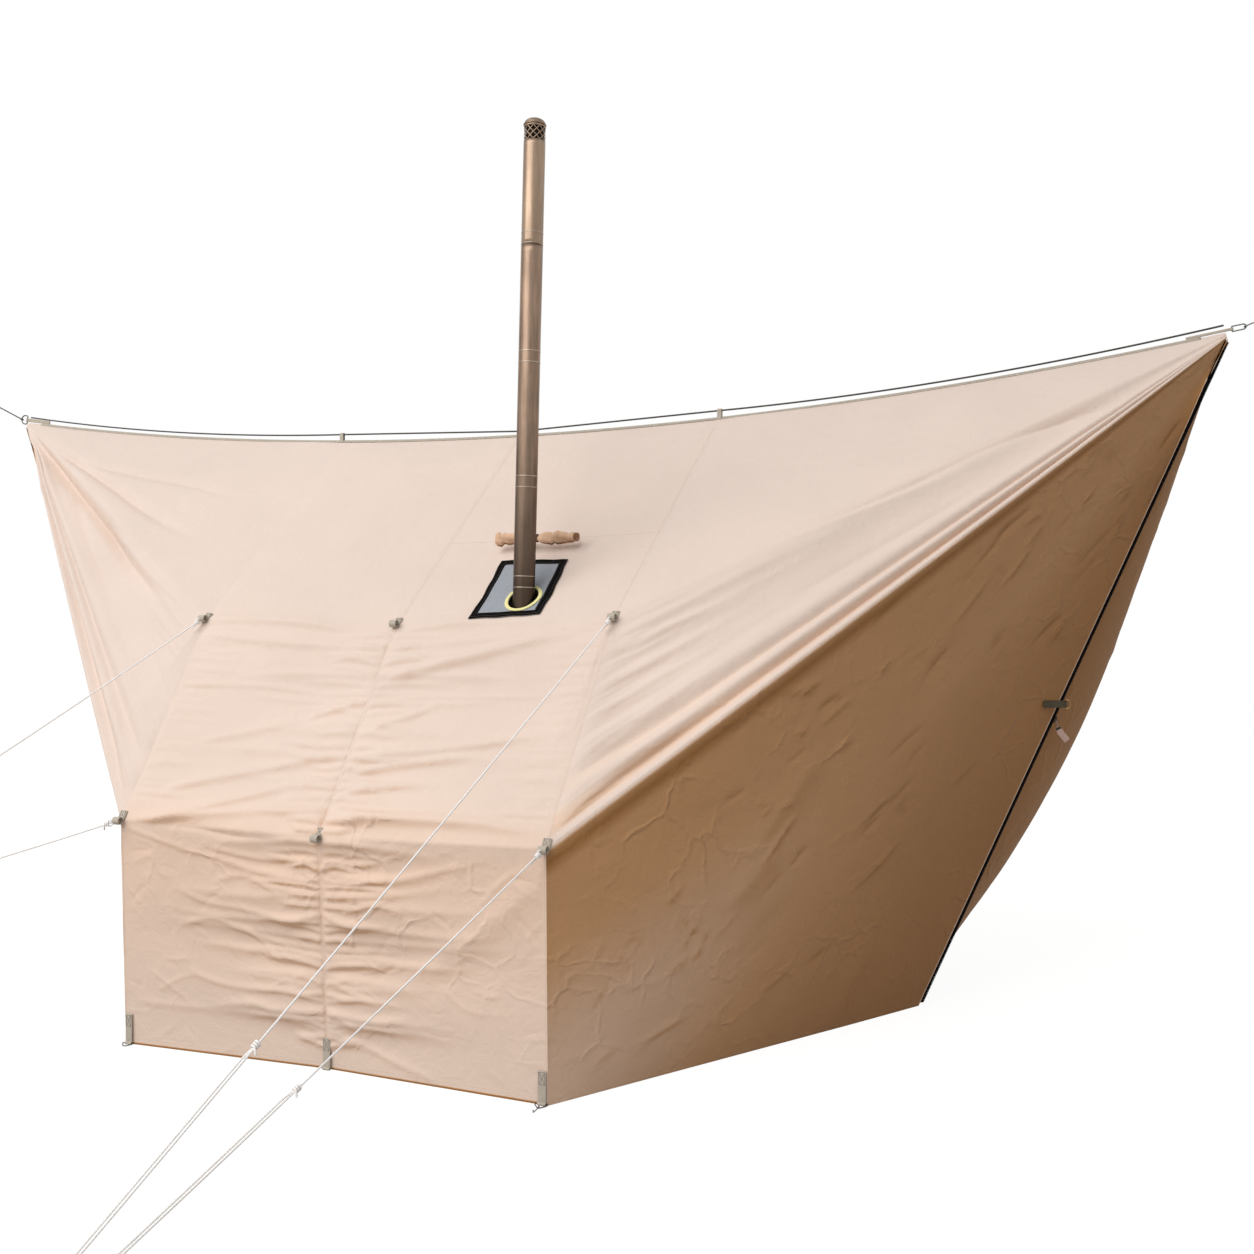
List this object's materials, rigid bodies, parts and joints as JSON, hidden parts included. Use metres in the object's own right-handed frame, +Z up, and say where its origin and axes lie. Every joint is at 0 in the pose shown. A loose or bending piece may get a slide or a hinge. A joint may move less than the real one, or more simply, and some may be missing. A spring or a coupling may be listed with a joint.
{
  "type": "hammock tarp shelter",
  "caption": "Closed hammock tarp shelter in sand cloth with zipped ends, webbing tie-outs, guylines, a ridgeline and a chimney pipe through its stove jack",
  "frame": {"origin": "On the ground under the middle of the ridge, midway between the two long walls", "axes": "+X along the ridge towards the end with the oval link, +Y away from the wall with the stove jack, +Z up"},
  "size_m": [4.2794, 3.3319, 2.3218],
  "materials": {
    "canopy_cloth": "matt sand polycotton",
    "olive_webbing": "grey-olive webbing",
    "dark_webbing": "dark olive webbing",
    "black_tape": "black woven tape",
    "heat_proof_cloth": "grey coated glass cloth",
    "yellow_stitching": "pale yellow sewn ring",
    "dark_cord": "dark braided cord",
    "white_cord": "white braided cord",
    "steel_wire": "grey bent wire",
    "tan_metal": "tan painted wire",
    "pale_tag": "pale webbing tag",
    "pipe_metal": "heat-browned rolled foil",
    "arrestor_metal": "champagne foil"
  },
  "bodies": {
    "canopy": {"front_panel_left": "canopy_cloth", "front_panel_right": "canopy_cloth", "front_wing_left": "canopy_cloth", "front_wing_right": "canopy_cloth", "rear_panel_left": "canopy_cloth", "rear_panel_right": "canopy_cloth", "rear_wing_left": "canopy_cloth", "rear_wing_right": "canopy_cloth", "ridge_webbing": "olive_webbing", "ridge_cord": "dark_cord", "zip_tape_front_left": "black_tape", "zip_tape_front_right": "black_tape", "zip_tape_rear_left": "black_tape", "zip_tape_rear_right": "black_tape", "door_strap_left": "dark_webbing", "door_strap_right": "dark_webbing", "jack_patch": "heat_proof_cloth", "jack_binding": "black_tape", "jack_ring": "yellow_stitching", "rain_flap": "canopy_cloth", "tieout_mid_left": "olive_webbing", "tieout_mid_middle": "olive_webbing", "tieout_mid_right": "olive_webbing", "tieout_eave_left": "olive_webbing", "tieout_eave_middle": "olive_webbing", "tieout_eave_right": "olive_webbing", "rear_tieout_mid_left": "olive_webbing", "rear_tieout_mid_middle": "olive_webbing", "rear_tieout_mid_right": "olive_webbing", "rear_tieout_eave_left": "olive_webbing", "rear_tieout_eave_middle": "olive_webbing", "rear_tieout_eave_right": "olive_webbing", "hem_strap_left": "olive_webbing", "hem_strap_middle": "olive_webbing", "hem_strap_right": "olive_webbing", "rear_hem_strap_left": "olive_webbing", "rear_hem_strap_middle": "olive_webbing", "rear_hem_strap_right": "olive_webbing", "guyline_mid_left": "white_cord", "guyline_mid_right": "white_cord", "guyline_eave_left": "white_cord", "guyline_eave_right": "white_cord"},
    "pipe": {"stove_pipe": "pipe_metal", "arrestor_sleeve": "arrestor_metal", "arrestor_cap": "arrestor_metal"},
    "ring_left": {"ridge_ring_left": "steel_wire", "tree_rope_left": "dark_cord"},
    "link_right": {"ridge_link_right": "steel_wire"},
    "hook_right": {"tree_hook_right": "steel_wire"},
    "hook_foot": {"hem_hook": "steel_wire"},
    "slider_left": {"zip_slider_left": "steel_wire"},
    "pull_left": {"zip_pull_left": "pale_tag"},
    "door_ring_left": {"door_ring_left": "tan_metal"},
    "ring_hem_left": {"hem_ring_left": "steel_wire"},
    "ring_rear_left": {"rear_hem_ring_left": "steel_wire"},
    "slider_right": {"zip_slider_right": "steel_wire"},
    "pull_right": {"zip_pull_right": "pale_tag"},
    "door_ring_right": {"door_ring_right": "tan_metal"},
    "ring_hem_right": {"hem_ring_right": "steel_wire"},
    "ring_rear_right": {"rear_hem_ring_right": "steel_wire"}
  },
  "joints": [
    {"name": "pipe_slide", "type": "slide", "parent": "canopy", "child": "pipe", "axis": [0.0262, 0, 0.9997], "range_m": [-0.25, 0.25]},
    {"name": "ring_left_swing", "type": "hinge", "parent": "canopy", "child": "ring_left", "pos_m": [-1.997, 0, 1.79591], "axis": [0.1499, 0, 0.9887], "range_deg": [-35, 35]},
    {"name": "link_right_swing", "type": "hinge", "parent": "canopy", "child": "link_right", "pos_m": [1.997, 0, 1.79291], "axis": [-0.1499, 0, 0.9887], "range_deg": [-35, 35]},
    {"name": "hook_right_swing", "type": "hinge", "parent": "link_right", "child": "hook_right", "pos_m": [2.02923, 0, 1.7978], "axis": [-0.1499, 0, 0.9887], "range_deg": [-20, 20]},
    {"name": "hem_hook_lift", "type": "hinge", "parent": "ring_hem_right", "child": "hook_foot", "pos_m": [0.566, -1.06881, 0.0017], "axis": [-1, 0, 0], "range_deg": [0, 30]},
    {"name": "zip_slide_left", "type": "slide", "parent": "canopy", "child": "slider_left", "axis": [0.3987, 0, -0.9171], "range_m": [0, 0.8]},
    {"name": "zip_pull_swing_left", "type": "hinge", "parent": "slider_left", "child": "pull_left", "pos_m": [-1.57414, 0, 0.79303], "axis": [0, 1, 0], "range_deg": [-15, 100]},
    {"name": "door_ring_swing_left", "type": "hinge", "parent": "canopy", "child": "door_ring_left", "pos_m": [-1.59981, -0.00439, 0.83507], "axis": [-0.0363, 0.0425, 0.9984], "range_deg": [0, 60]},
    {"name": "hem_ring_lift_left", "type": "hinge", "parent": "canopy", "child": "ring_hem_left", "pos_m": [-0.566, -1.05379, 0.004], "axis": [-1, 0, 0], "range_deg": [0, 60]},
    {"name": "rear_hem_ring_lift_left", "type": "hinge", "parent": "canopy", "child": "ring_rear_left", "pos_m": [-0.566, 1.05379, 0.004], "axis": [1, 0, 0], "range_deg": [0, 60]},
    {"name": "zip_slide_right", "type": "slide", "parent": "canopy", "child": "slider_right", "axis": [-0.3987, 0, -0.9171], "range_m": [0, 0.8]},
    {"name": "zip_pull_swing_right", "type": "hinge", "parent": "slider_right", "child": "pull_right", "pos_m": [1.57414, 0, 0.79303], "axis": [0, -1, 0], "range_deg": [-15, 100]},
    {"name": "door_ring_swing_right", "type": "hinge", "parent": "canopy", "child": "door_ring_right", "pos_m": [1.5992, -0.00299, 0.8356], "axis": [-0.0148, -0.0206, -0.9997], "range_deg": [0, 60]},
    {"name": "hem_ring_lift_right", "type": "hinge", "parent": "canopy", "child": "ring_hem_right", "pos_m": [0.566, -1.05379, 0.004], "axis": [-1, 0, 0], "range_deg": [0, 60]},
    {"name": "rear_hem_ring_lift_right", "type": "hinge", "parent": "canopy", "child": "ring_rear_right", "pos_m": [0.566, 1.05379, 0.004], "axis": [1, 0, 0], "range_deg": [0, 60]}
  ]
}
